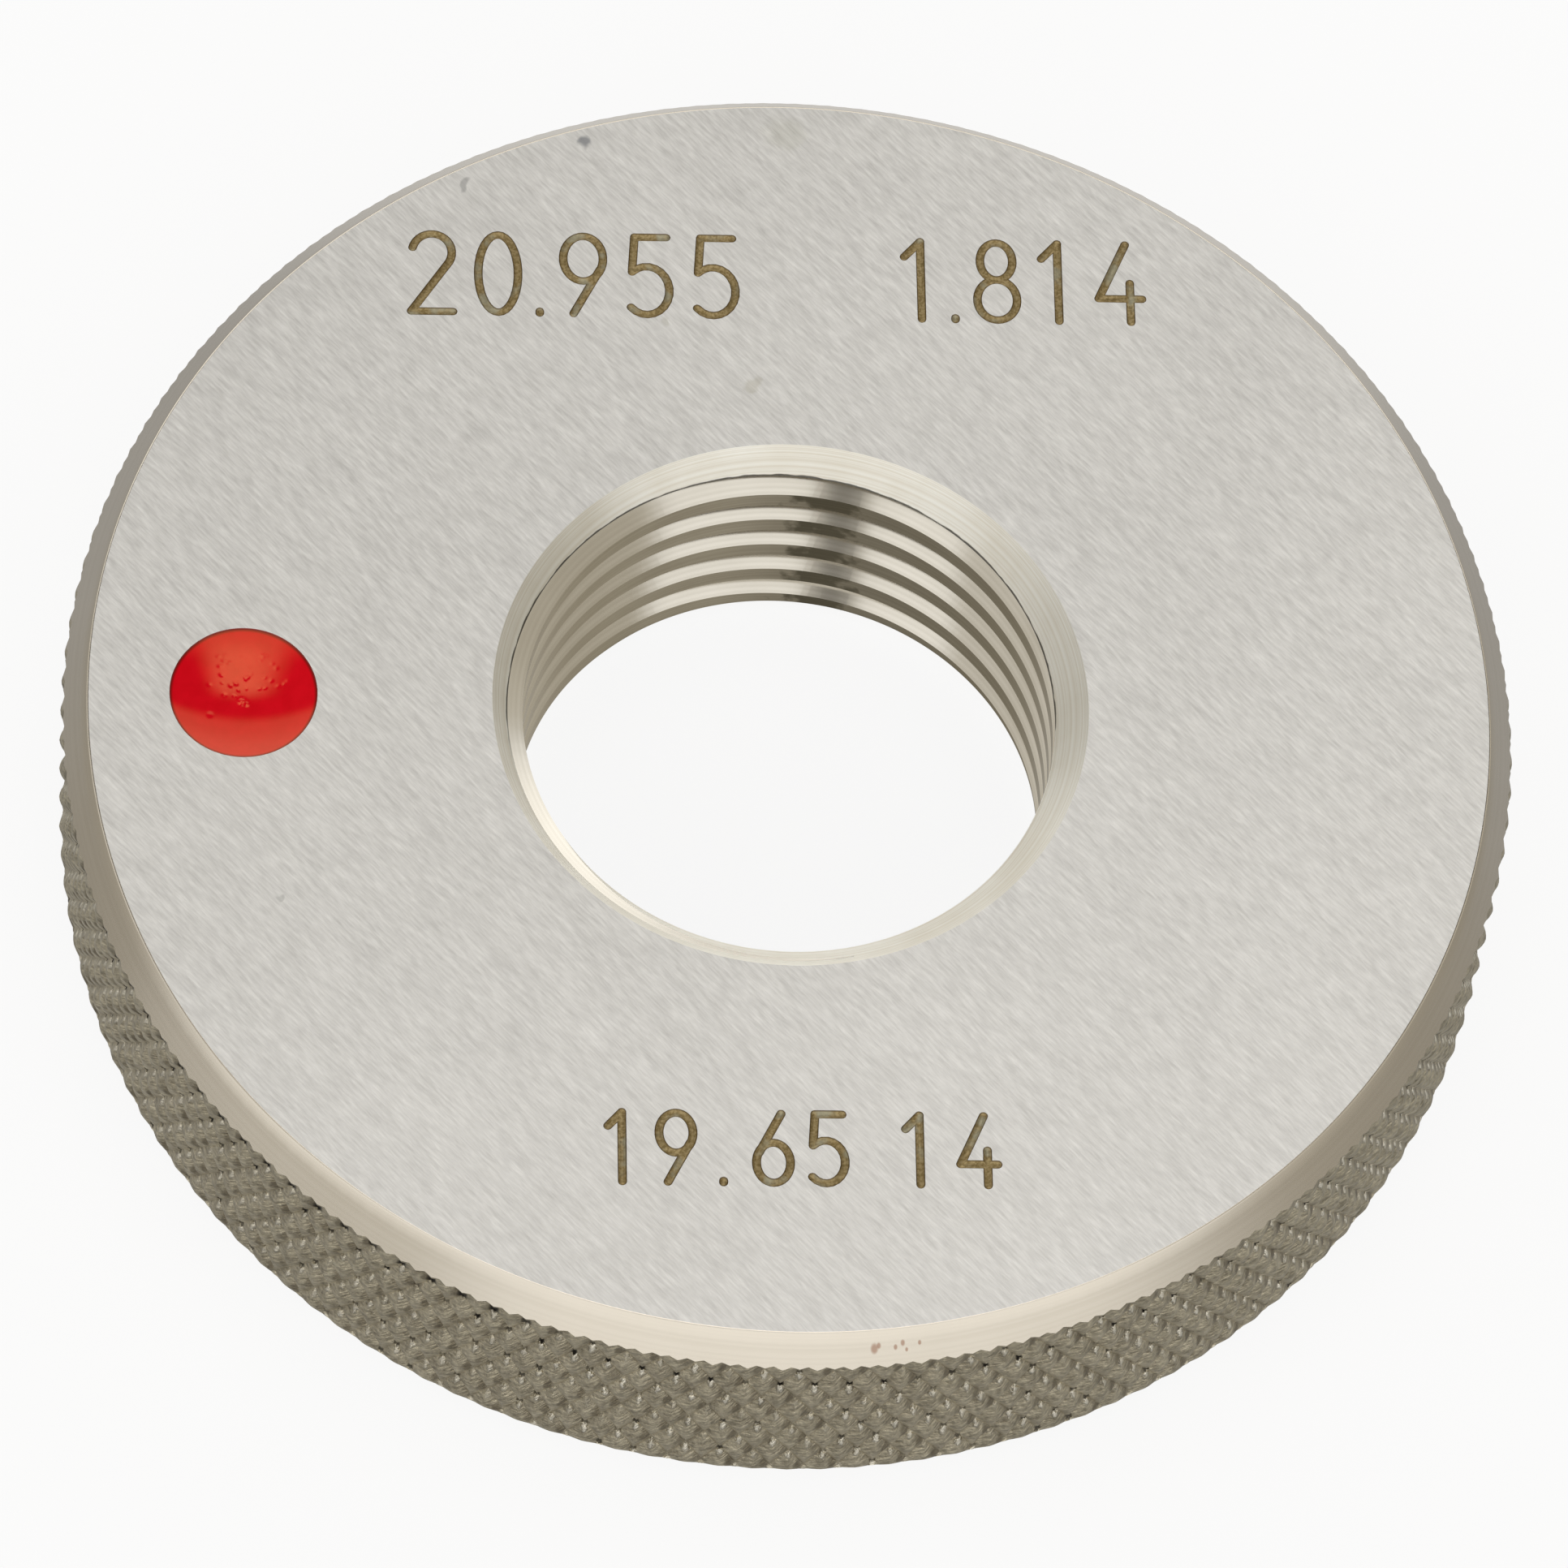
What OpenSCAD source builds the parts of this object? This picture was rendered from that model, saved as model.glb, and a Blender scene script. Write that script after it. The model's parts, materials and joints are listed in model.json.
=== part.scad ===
// Thread ring gauge: one hardened steel ring with a knurled rim, a right-hand
// screw thread in its bore, a countersink at each end of the thread, and a
// drilled mark on the upper face that is filled with red lacquer.
// The origin is on the bore's axis, on the face that the gauge rests on.

/* [Ring] */
// Diameter over the points of the knurl
ring_od = 53; // [46:0.5:60]
// Thickness between the two flat faces
ring_h = 10.4; // [8:0.1:14]
// Width of the bevel at each edge of the rim, seen from above
bevel_w = 1; // [0.5:0.05:1.4]
// Height of the bevel at each edge of the rim, seen from the side
bevel_h = 1.3; // [0.6:0.05:1.6]

/* [Knurl] */
// Number of knurl points in one row around the rim
knurl_count = 134; // [90:1:150]
// Depth of the knurl's grooves below its points
knurl_depth = 0.3; // [0.2:0.05:0.6]
// Angle between the knurl's grooves and the axis
knurl_angle = 30; // [25:1:40]
// Depth of the first whole row of grooves' crossings below the upper face
knurl_drop = 1.57; // [1:0.01:2.5]

/* [Thread] */
// Distance between neighbouring threads, 14 to the inch
thread_pitch = 1.8143; // [1:0.0001:2.5]
// Diameter of the flat crests, which is the clear bore
crest_d = 19.4; // [18:0.05:20]
// Diameter at which thread and groove are equally wide
pitch_d = 19.651; // [19.4:0.001:20.2]
// Diameter at the bottom of the groove
root_d = 21; // [20.4:0.05:21.4]
// Angle between the two flanks of the groove
flank_angle = 55; // [50:1:60]
// Turn of the thread's start, seen from above
thread_start = 195; // [0:1:360]
// Diameter of the upper countersink where it meets the face
top_sink_d = 21.6; // [21:0.1:24]
// Diameter of the lower countersink where it meets the face
low_sink_d = 21.1; // [21:0.1:24]
// Angle of both countersinks' cones
sink_angle = 90; // [80:5:120]

/* [Red mark] */
// Distance from the points of the knurl to the mark's centre
mark_inset = 6.65; // [5:0.05:7.5]
// Diameter of the drilled mark
mark_d = 5.3; // [3:0.05:6]
// Depth of the mark's straight wall
mark_wall = 0.1; // [0.05:0.01:0.3]
// Angle of the drill's point
mark_angle = 140; // [118:2:160]
// Depth of the lacquer's rim below the face
fill_drop = 0.05; // [0.02:0.01:0.1]
// Depth of the hollow in the lacquer's surface
fill_hollow = 0.42; // [0.1:0.01:0.6]

/* [Hidden] */

// Facets of true round surfaces
$fn = 128;
// How far a cutting shape passes the surface that it cuts
past = 1;

tip_r = ring_od / 2;
groove_r = tip_r - knurl_depth;
crest_r = crest_d / 2;
pitch_r = pitch_d / 2;
root_r = root_d / 2;
mark_r = mark_d / 2;
mark_at = tip_r - mark_inset;
mark_depth = mark_wall + mark_r / tan(mark_angle / 2);
// Steps from the rim of the lacquer's surface to its middle
dish_steps = 8;

// Two steps around the rim for each point: the point and the grooves' crossing
rim_steps = 2 * knurl_count;
knurl_pitch = PI * ring_od / knurl_count;
// From one row of points to the next, which is half a diamond's length
row_h = knurl_pitch / tan(knurl_angle) / 2;
// Rows from the named one down past the lower face and up past the upper face
rows_below = floor((ring_h - knurl_drop) / row_h) + 1;
rows_above = floor(knurl_drop / row_h) + 1;
rows = rows_below + rows_above;

// Steps in one turn of the thread's groove
turn_steps = 60;
thread_turns = ceil((ring_h + 2 * past) / thread_pitch);
// How far inside the crests the groove's cutting shape starts
cutter_clear = 0.3;
cutter_r = crest_r - cutter_clear;

// A point of the knurl's grid: points stand between the crossings of the grooves
function knurl_point(step, row) =
    let (
        r = (step + row) % 2 == 0 ? groove_r : tip_r,
        turn = 360 * step / rim_steps,
        z = ring_h - knurl_drop + (row - rows_below) * row_h
    )
    [r * cos(turn), r * sin(turn), z];

// Number of that point in the list of points
function knurl_index(step, row) = row * rim_steps + step % rim_steps;

// The four corners of a grid cell, split into two facets along the cell's groove
function knurl_cell(step, row) =
    let (
        a = knurl_index(step, row),
        b = knurl_index(step + 1, row),
        c = knurl_index(step + 1, row + 1),
        d = knurl_index(step, row + 1)
    )
    (step + row) % 2 == 0 ? [[a, c, b], [a, d, c]] : [[a, d, b], [b, d, c]];

// Half the width of the thread's groove at a radius
function half_groove(r) = thread_pitch / 4 - (r - pitch_r) * tan(flank_angle / 2);

// Corners of the groove's section, as radius and height
groove_section = [
    [cutter_r, -half_groove(cutter_r)],
    [root_r, -half_groove(root_r)],
    [root_r, half_groove(root_r)],
    [cutter_r, half_groove(cutter_r)]
];

// Cylinder whose whole wall is knurled, taller than the ring
module knurled_blank() {
    points = [
        for (row = [0 : rows]) for (step = [0 : rim_steps - 1]) knurl_point(step, row)
    ];
    sides = [
        for (row = [0 : rows - 1]) for (step = [0 : rim_steps - 1])
            each knurl_cell(step, row)
    ];
    bottom = [for (step = [0 : rim_steps - 1]) knurl_index(step, 0)];
    top = [for (step = [rim_steps - 1 : -1 : 0]) knurl_index(step, rows)];
    polyhedron(points, concat(sides, [bottom, top]));
}

// Disc with a bevel at both edges, which go on outwards past the knurl's points
module bevelled_disc() {
    reach = bevel_w + past;
    rise = reach * bevel_h / bevel_w;
    face_r = tip_r - bevel_w;
    rotate_extrude()
        polygon([
            [0, 0],
            [face_r, 0],
            [face_r + reach, rise],
            [face_r + reach, ring_h - rise],
            [face_r, ring_h],
            [0, ring_h]
        ]);
}

// Cone that has its named diameter at height 0 and goes on wider below it
module countersink(sink_d) {
    sink_r = sink_d / 2;
    depth = sink_r / tan(sink_angle / 2);
    past_r = sink_r + past * tan(sink_angle / 2);
    translate([0, 0, -past]) cylinder(r1 = past_r, r2 = 0, h = depth + past);
}

// The groove of the thread as a right-hand coil that passes both faces
module thread_groove() {
    corners = len(groove_section);
    steps = thread_turns * turn_steps;
    first_z = ring_h / 2 - thread_turns * thread_pitch / 2;
    points = [
        for (step = [0 : steps]) for (corner = groove_section)
            let (turn = thread_start + 360 * step / turn_steps)
            [
                corner[0] * cos(turn),
                corner[0] * sin(turn),
                corner[1] + first_z + thread_pitch * step / turn_steps
            ]
    ];
    sides = [
        for (step = [0 : steps - 1]) for (i = [0 : corners - 1])
            let (
                a = step * corners + i,
                b = step * corners + (i + 1) % corners
            )
            each [[a, b, b + corners], [a, b + corners, a + corners]]
    ];
    start = [for (i = [corners - 1 : -1 : 0]) i];
    end = [for (i = [0 : corners - 1]) steps * corners + i];
    polyhedron(points, concat(sides, [start, end]));
}

// Drill that makes the mark, its mouth at height 0 and its point downwards
module mark_drill() {
    rotate_extrude()
        polygon([[0, past], [0, -mark_depth], [mark_r, -mark_wall], [mark_r, past]]);
}

module gauge_ring() color([0.80, 0.79, 0.76]) difference() {
    intersection() {
        knurled_blank();
        bevelled_disc();
    }
    translate([0, 0, -past]) cylinder(r = crest_r, h = ring_h + 2 * past);
    countersink(low_sink_d);
    translate([0, 0, ring_h]) mirror([0, 0, 1]) countersink(top_sink_d);
    thread_groove();
    translate([-mark_at, 0, ring_h]) mark_drill();
}

// Height of the lacquer's dished surface at a distance from the mark's centre
function fill_z(r) = -fill_drop - fill_hollow * (1 - pow(r / mark_r, 2));

// The lacquer fills the drilled mark and dries with a hollow, dished surface
module red_mark() {
    dish = [
        for (step = [0 : dish_steps])
            let (r = mark_r * (1 - step / dish_steps)) [r, fill_z(r)]
    ];
    color([0.78, 0.06, 0.08])
        translate([-mark_at, 0, ring_h])
        rotate_extrude()
        polygon(concat([[0, -mark_depth], [mark_r, -mark_wall]], dish));
}

gauge_ring();
red_mark();
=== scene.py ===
import json
import math

import bmesh
import bpy
import numpy as np
from mathutils import Matrix, Vector

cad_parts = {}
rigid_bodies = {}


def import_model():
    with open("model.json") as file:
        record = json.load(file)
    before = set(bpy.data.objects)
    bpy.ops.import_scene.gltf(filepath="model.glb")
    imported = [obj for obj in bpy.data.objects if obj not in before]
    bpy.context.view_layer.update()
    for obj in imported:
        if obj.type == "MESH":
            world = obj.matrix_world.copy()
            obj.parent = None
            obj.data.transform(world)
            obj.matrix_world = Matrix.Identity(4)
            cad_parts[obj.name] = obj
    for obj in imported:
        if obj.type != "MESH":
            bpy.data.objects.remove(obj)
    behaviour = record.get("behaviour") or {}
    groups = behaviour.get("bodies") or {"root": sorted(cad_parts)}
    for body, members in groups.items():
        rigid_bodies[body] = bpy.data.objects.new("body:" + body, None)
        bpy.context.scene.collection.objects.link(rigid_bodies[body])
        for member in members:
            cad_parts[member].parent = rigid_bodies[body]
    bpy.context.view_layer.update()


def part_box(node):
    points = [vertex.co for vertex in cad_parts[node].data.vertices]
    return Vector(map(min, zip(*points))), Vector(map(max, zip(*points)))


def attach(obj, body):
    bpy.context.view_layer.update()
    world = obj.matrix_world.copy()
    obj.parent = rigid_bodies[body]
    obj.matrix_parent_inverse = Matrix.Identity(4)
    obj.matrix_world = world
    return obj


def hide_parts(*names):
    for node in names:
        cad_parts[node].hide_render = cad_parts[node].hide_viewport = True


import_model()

MM = 0.001


def in_mm(metres):
    """A length of the frame in millimetres, without its rounding error."""
    return round(metres / MM, 3)


# Sizes and places in millimetres that come from the frame
RING_LOW, RING_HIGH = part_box("gauge_ring")
MARK_LOW, MARK_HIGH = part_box("red_mark")
RING_OD, RING_H = in_mm(RING_HIGH[0] - RING_LOW[0]), in_mm(RING_HIGH[2] - RING_LOW[2])
MARK_D = in_mm(MARK_HIGH[1] - MARK_LOW[1])
MARK_AT = -in_mm((MARK_HIGH[0] + MARK_LOW[0]) / 2)
FILL_DROP = in_mm(RING_HIGH[2] - MARK_HIGH[2])

# Sizes in millimetres and degrees that are the same as in the part's source
BEVEL_W, BEVEL_H = 1.0, 1.3
KNURL_COUNT, KNURL_DEPTH, KNURL_ANGLE, KNURL_DROP = 134, 0.3, 30.0, 1.57
THREAD_PITCH, CREST_D, PITCH_D, ROOT_D = 1.8143, 19.4, 19.651, 21.0
FLANK_ANGLE, THREAD_START = 55.0, 195.0
TOP_SINK_D, LOW_SINK_D, SINK_ANGLE = 21.6, 21.1, 90.0
MARK_WALL, MARK_ANGLE = 0.1, 140.0
FILL_HOLLOW = 0.42
# How far a cutting shape passes the face that it cuts
PAST = 1.0

TIP_R = RING_OD / 2
GROOVE_R = TIP_R - KNURL_DEPTH
FACE_R = TIP_R - BEVEL_W
BEVEL_SLOPE = BEVEL_W / BEVEL_H
CREST_R, PITCH_R, ROOT_R = CREST_D / 2, PITCH_D / 2, ROOT_D / 2
MARK_R = MARK_D / 2
MARK_DEPTH = MARK_WALL + MARK_R / math.tan(math.radians(MARK_ANGLE / 2))
KNURL_PITCH = math.pi * RING_OD / KNURL_COUNT
ROW_H = KNURL_PITCH / math.tan(math.radians(KNURL_ANGLE)) / 2
ROWS_BELOW = math.floor((RING_H - KNURL_DROP) / ROW_H) + 1
ROWS = ROWS_BELOW + math.floor(KNURL_DROP / ROW_H) + 1
THREAD_TURNS = math.ceil((RING_H + 2 * PAST) / THREAD_PITCH)
# Height of the first groove's middle at the thread's start
THREAD_FIRST_Z = RING_H / 2 - THREAD_TURNS * THREAD_PITCH / 2

# Steps of the fine knurl in each step of the source's grid
SUBS = 4
RIM_STEPS = 2 * KNURL_COUNT
RIM_COLUMNS = RIM_STEPS * SUBS
# Radius where the core and the rim are joined, on the flat faces
JOIN_R = FACE_R - 0.1
# Roundings of the bevel's edge, of the countersinks' mouths, of the mark's and of the root
EDGE_ROUND, SINK_ROUND, MARK_ROUND, ROOT_ROUND = 0.1, 0.05, 0.03, 0.06
# Steps in one turn of the bore and of the mark
BORE_STEPS, MARK_STEPS = 240, 128

# Material slots of the ring
FACE, BEVEL, KNURL, CONE, FLANK, CREST, ENGRAVED, DIMPLE = range(8)

# Plain digits: strokes in a box of height 1, as straight lines or as arcs
# (centre x, centre y, radius x, radius y, first angle, last angle)
DIGITS = {
    "0": [(0.23, 0.5, 0.22, 0.5, 90, 270), (0.23, 0.5, 0.22, 0.5, -90, 90)],
    "1": [[(0.06, 0.8), (0.24, 1.0)], [(0.24, 1.0), (0.24, 0.0)]],
    "2": [
        (0.23, 0.76, 0.22, 0.24, 165, -30),
        [(0.421, 0.64), (0.0, 0.0)],
        [(0.0, 0.0), (0.46, 0.0)],
    ],
    "4": [[(0.31, 1.0), (0.0, 0.3)], [(0.0, 0.3), (0.48, 0.3)], [(0.35, 0.5), (0.35, 0.0)]],
    "5": [
        [(0.42, 1.0), (0.07, 1.0)],
        [(0.07, 1.0), (0.04, 0.57)],
        (0.2, 0.31, 0.25, 0.31, 130, -135),
    ],
    "6": [
        (0.23, 0.29, 0.22, 0.29, 90, 270),
        (0.23, 0.29, 0.22, 0.29, -90, 90),
        [(0.34, 1.0), (0.045, 0.43)],
    ],
    "8": [
        (0.23, 0.76, 0.18, 0.24, 90, 270),
        (0.23, 0.76, 0.18, 0.24, -90, 90),
        (0.23, 0.26, 0.22, 0.26, 90, 270),
        (0.23, 0.26, 0.22, 0.26, -90, 90),
    ],
    "9": [
        (0.23, 0.71, 0.22, 0.29, 90, 270),
        (0.23, 0.71, 0.22, 0.29, -90, 90),
        [(0.415, 0.57), (0.12, 0.0)],
    ],
    ".": [[(0.0, 0.0), (0.0, 0.02)]],
}
# Engraved numbers: digits, where each starts along its row, the row's left end, its baseline
# and the digits' height, in millimetres
NUMBERS = (
    ("20.955", (0, 2.45, 4.75, 5.6, 8.05, 10.5), -13.75, 16.33, 3.35),
    ("1.814", (18.1, 20.15, 20.95, 23.2, 25.5), -13.75, 16.33, 3.35),
    ("19.65", (0, 1.95, 4.25, 5.4, 7.35), -7.0, -19.58, 2.75),
    ("14", (10.6, 12.7), -7.0, -19.58, 2.75),
)
# The rows are turned a little against the line from the mark to the bore
ROW_TURN = math.radians(0.21)
# Radius of the round cutter and height of its middle above the face
CUTTER_R, CUTTER_LIFT = 0.19, 0.09


def closed_mesh(name, verts, faces, slots, tag):
    """Closed mesh in millimetres whose faces all have one material slot."""
    me = bpy.data.meshes.new(name)
    me.from_pydata([tuple(v) for v in verts], [], [tuple(f) for f in faces])
    for material in slots:
        me.materials.append(material)
    bm = bmesh.new()
    bm.from_mesh(me)
    bmesh.ops.recalc_face_normals(bm, faces=bm.faces)
    bm.to_mesh(me)
    bm.free()
    me.polygons.foreach_set("material_index", [tag] * len(me.polygons))
    return me


def revolved(profile, steps, centre=(0.0, 0.0)):
    """Corners and faces of a solid turned from a profile that starts and ends on the axis."""
    verts, faces = [], []
    turns = [2 * math.pi * i / steps for i in range(steps)]
    rings = profile[1:-1]
    for r, z in rings:
        verts += [
            (centre[0] + r * math.cos(a), centre[1] + r * math.sin(a), z) for a in turns
        ]
    first, last = len(verts), len(verts) + 1
    verts += [(*centre, profile[0][1]), (*centre, profile[-1][1])]
    for i in range(steps):
        j = (i + 1) % steps
        faces.append((first, j, i))
        for k in range(len(rings) - 1):
            a = k * steps
            faces.append((a + i, a + j, a + steps + j, a + steps + i))
        a = (len(rings) - 1) * steps
        faces.append((last, a + i, a + j))
    return verts, faces


def half_groove(r):
    """Half the width of the thread's groove at a radius."""
    return THREAD_PITCH / 4 - (r - PITCH_R) * math.tan(math.radians(FLANK_ANGLE / 2))


def thread_groove(clear=0.3):
    """The thread's groove as a right-hand coil that starts inside the crests and passes
    both faces."""
    inner, shoulder = CREST_R - clear, ROOT_R - ROOT_ROUND
    section = [
        (inner, -half_groove(inner)),
        (shoulder, -half_groove(shoulder)),
        (ROOT_R, -half_groove(ROOT_R) + ROOT_ROUND / 2),
        (ROOT_R, half_groove(ROOT_R) - ROOT_ROUND / 2),
        (shoulder, half_groove(shoulder)),
        (inner, half_groove(inner)),
    ]
    n = len(section)
    verts, faces = [], []
    for step in range(THREAD_TURNS * BORE_STEPS + 1):
        a = math.radians(THREAD_START) + 2 * math.pi * step / BORE_STEPS
        z = THREAD_FIRST_Z + THREAD_PITCH * step / BORE_STEPS
        verts += [(r * math.cos(a), r * math.sin(a), z + dz) for r, dz in section]
    for step in range(THREAD_TURNS * BORE_STEPS):
        for i in range(n):
            a, b = step * n + i, step * n + (i + 1) % n
            faces.append((a, b, b + n, a + n))
    faces.append(tuple(range(n - 1, -1, -1)))
    faces.append(tuple(len(verts) - n + i for i in range(n)))
    return verts, faces


def countersink(sink_d, top, reach=4.0, tip=4.5):
    """Cone with a softened mouth at the upper or the lower face and a blunt tip in the bore."""
    r, soft = sink_d / 2, SINK_ROUND
    slope = math.tan(math.radians(SINK_ANGLE / 2))
    profile = [
        (0, PAST),
        (r + soft * 0.9, PAST),
        (r + soft * 0.9, 0.0),
        (r + soft * 0.35, -soft * 0.25),
        (r - soft, -soft),
        (r - reach, -reach / slope),
        (0, -tip / slope),
    ]
    return revolved([(r, RING_H + z if top else -z) for r, z in profile], BORE_STEPS)


def mark_drill():
    """The drill that makes the mark, with a softened mouth."""
    profile = [
        (0, RING_H + PAST),
        (MARK_R + MARK_ROUND, RING_H + PAST),
        (MARK_R + MARK_ROUND, RING_H),
        (MARK_R, RING_H - MARK_ROUND),
        (MARK_R, RING_H - MARK_WALL),
        (0, RING_H - MARK_DEPTH),
    ]
    return revolved(profile, MARK_STEPS, (-MARK_AT, 0))


def arc_points(cx, cy, rx, ry, start, end, steps=18):
    """Points along an arc of an ellipse."""
    turns = np.radians(np.linspace(start, end, steps))
    return [(cx + rx * math.cos(a), cy + ry * math.sin(a)) for a in turns]


def number_strokes(digits, starts, left, baseline, height):
    """Strokes of one engraved number, as lists of points on the face."""
    out = []
    c, s = math.cos(ROW_TURN), math.sin(ROW_TURN)
    for digit, at in zip(digits, starts):
        for stroke in DIGITS[digit]:
            pts = stroke if isinstance(stroke, list) else arc_points(*stroke)
            pts = [(left + at + x * height, baseline + y * height) for x, y in pts]
            out.append([(x * c - y * s, x * s + y * c) for x, y in pts])
    return out


def stroke_cutter(points, sides=14, cap_rings=4, blunt=0.15):
    """Round bar with blunt round ends along a stroke, its lower part in the face."""
    path = np.array([(x, y, RING_H + CUTTER_LIFT) for x, y in points])
    along = np.gradient(path, axis=0)
    along /= np.linalg.norm(along, axis=1)[:, None]
    cap = [math.pi / 2 * (k - blunt) / cap_rings for k in range(1, cap_rings + 1)]
    hoops = [(path[0] - along[0] * CUTTER_R * math.sin(a), along[0], a) for a in reversed(cap)]
    hoops += [(middle, ahead, 0.0) for middle, ahead in zip(path, along)]
    hoops += [(path[-1] + along[-1] * CUTTER_R * math.sin(a), along[-1], a) for a in cap]
    verts, faces = [], []
    up = np.array((0.0, 0.0, 1.0))
    for middle, ahead, a in hoops:
        r, side = CUTTER_R * math.cos(a), np.array((-ahead[1], ahead[0], 0.0))
        for i in range(sides):
            b = 2 * math.pi * (i + 0.5) / sides
            verts.append(middle + r * math.cos(b) * side + r * math.sin(b) * up)
    for k in range(len(hoops) - 1):
        for i in range(sides):
            j = (i + 1) % sides
            faces.append((k * sides + i, k * sides + j, (k + 1) * sides + j, (k + 1) * sides + i))
    faces.append(tuple(range(sides)))
    faces.append(tuple(range(len(verts) - 1, len(verts) - sides - 1, -1)))
    return verts, faces


# Rows of draws for the points' wear, and those of them that lie below the knurl's first row
TIP_ROWS, TIP_ROWS_BELOW = ROWS + 6, 2
# More draws than there are grooves of one hand
GROOVE_DRAWS = RIM_STEPS + 40
# Wear of the points and of the grooves of both hands, as shares of the knurl's depth
wear_draws = np.random.default_rng(7)
tip_wear = wear_draws.uniform(-0.07, 0.0, (RIM_STEPS, TIP_ROWS))
groove_wear = wear_draws.uniform(-0.05, 0.05, (2, GROOVE_DRAWS))
# Shares of the way up to a point where a groove's wear ends and a point's wear starts
GROOVE_WEAR_END, TIP_WEAR_START = 0.625, 0.5
# Share of the knurl's depth at steps from a groove's middle at 0 to a point's middle at 1
RISE_AT = (0, 0.2, 0.5, 0.8, 1)
RISE = (0.06, 0.33, 0.67, 0.91, 0.98)
# Extra depth where two grooves cross, and how far from the crossing it starts
CROSSING_DIP, CROSSING_WIDE = 0.14, 0.3
# Towards the bevels the knurl is shallower: its middle level, the share of its depth that
# stays, how far outside the bevel's height this is reached and over what height it fades
CALM_LEVEL, CALM_SHARE, CALM_PAST, CALM_FADE = 0.62, 0.35, 0.3, 0.9


def row_of(z):
    """Row of the knurl's grid at a height."""
    return (z - RING_H + KNURL_DROP) / ROW_H + ROWS_BELOW


def knurl_r(step, row):
    """Radius of the knurl at a place of the source's grid; its points are a little worn."""
    u, v = step + row, step - row
    u_tip, v_tip = 2 * np.floor(u / 2) + 1, 2 * np.floor(v / 2) + 1
    du, dv = 1 - np.abs(u - u_tip), 1 - np.abs(v - v_tip)
    rise = np.minimum(du, dv)
    tip_step = np.round((u_tip + v_tip) / 2).astype(int) % RIM_STEPS
    tip_row = np.round((u_tip - v_tip) / 2).astype(int) + TIP_ROWS_BELOW
    worn_tip = tip_wear[tip_step, np.clip(tip_row, 0, TIP_ROWS - 1)]
    groove_u = np.round(u / 2).astype(int) % KNURL_COUNT
    groove_v = np.round(v / 2).astype(int) % KNURL_COUNT
    worn_groove = np.where(du < dv, groove_wear[0][groove_u], groove_wear[1][groove_v])
    h = np.interp(rise, RISE_AT, RISE)
    h = h + worn_groove * np.clip(1 - rise / GROOVE_WEAR_END, 0, 1)
    h = h + worn_tip * np.clip((rise - TIP_WEAR_START) / (1 - TIP_WEAR_START), 0, 1)
    h = h - CROSSING_DIP * np.clip(1 - (du + dv) / CROSSING_WIDE, 0, 1)
    z = RING_H - KNURL_DROP + (row - ROWS_BELOW) * ROW_H
    inside = np.clip((np.minimum(z, RING_H - z) - BEVEL_H + CALM_PAST) / CALM_FADE, 0, 1)
    h = CALM_LEVEL + (h - CALM_LEVEL) * (CALM_SHARE + (1 - CALM_SHARE) * inside)
    return GROOVE_R + KNURL_DEPTH * np.clip(h, 0, 1)


def bevel_depth(step, top, spare=0.1, halvings=40):
    """Distance from a flat face to where its bevel meets the knurl, at each step."""
    shallow, deep = np.zeros(RIM_COLUMNS), np.full(RIM_COLUMNS, BEVEL_H + spare)
    for _ in range(halvings):
        mid = (shallow + deep) / 2
        knurl = knurl_r(step, row_of(RING_H - mid if top else mid))
        met = FACE_R + mid * BEVEL_SLOPE > knurl
        shallow, deep = np.where(met, shallow, mid), np.where(met, mid, deep)
    return (shallow + deep) / 2


def bevel_lead(arc_steps=4):
    """Radii and depths from the join over the rounded edge to the start of the bevel."""
    tilt = math.atan2(BEVEL_H, BEVEL_W)
    reach = EDGE_ROUND * math.tan(tilt / 2)
    lead = [(JOIN_R, 0.0), ((JOIN_R + FACE_R - reach) / 2, 0.0)]
    for k in range(arc_steps + 1):
        a = tilt * k / arc_steps
        lead.append((FACE_R - reach + EDGE_ROUND * math.sin(a), EDGE_ROUND * (1 - math.cos(a))))
    return lead


def rim_rows(step):
    """Rows of the rim from the upper join down to the lower one, each as radii, heights, the
    slot of its surface and its row in the source's grid, or -1 outside the knurl."""
    top_z, bottom_z = RING_H - bevel_depth(step, True), bevel_depth(step, False)
    lead = bevel_lead()
    end_drop = lead[-1][1]
    one = np.ones(RIM_COLUMNS)
    rows = []
    for r, drop in lead:
        rows.append((r * one, (RING_H - drop) * one, BEVEL if drop > 0 else FACE, -1.0))
    for k in (1, 2):
        z = RING_H - end_drop + (top_z - RING_H + end_drop) * k / 3
        rows.append((FACE_R + (RING_H - z) * BEVEL_SLOPE, z, BEVEL, -1.0))
    for k in range(ROWS * SUBS, -1, -1):
        row = k / SUBS
        z = np.clip((row - ROWS_BELOW) * ROW_H + RING_H - KNURL_DROP, bottom_z, top_z)
        rows.append((knurl_r(step, row_of(z)), z, KNURL, row))
    for k in (2, 1):
        z = end_drop + (bottom_z - end_drop) * k / 3
        rows.append((FACE_R + z * BEVEL_SLOPE, z, BEVEL, -1.0))
    for r, drop in reversed(lead):
        rows.append((r * one, drop * one, BEVEL if drop > 0 else FACE, -1.0))
    return rows


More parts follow.
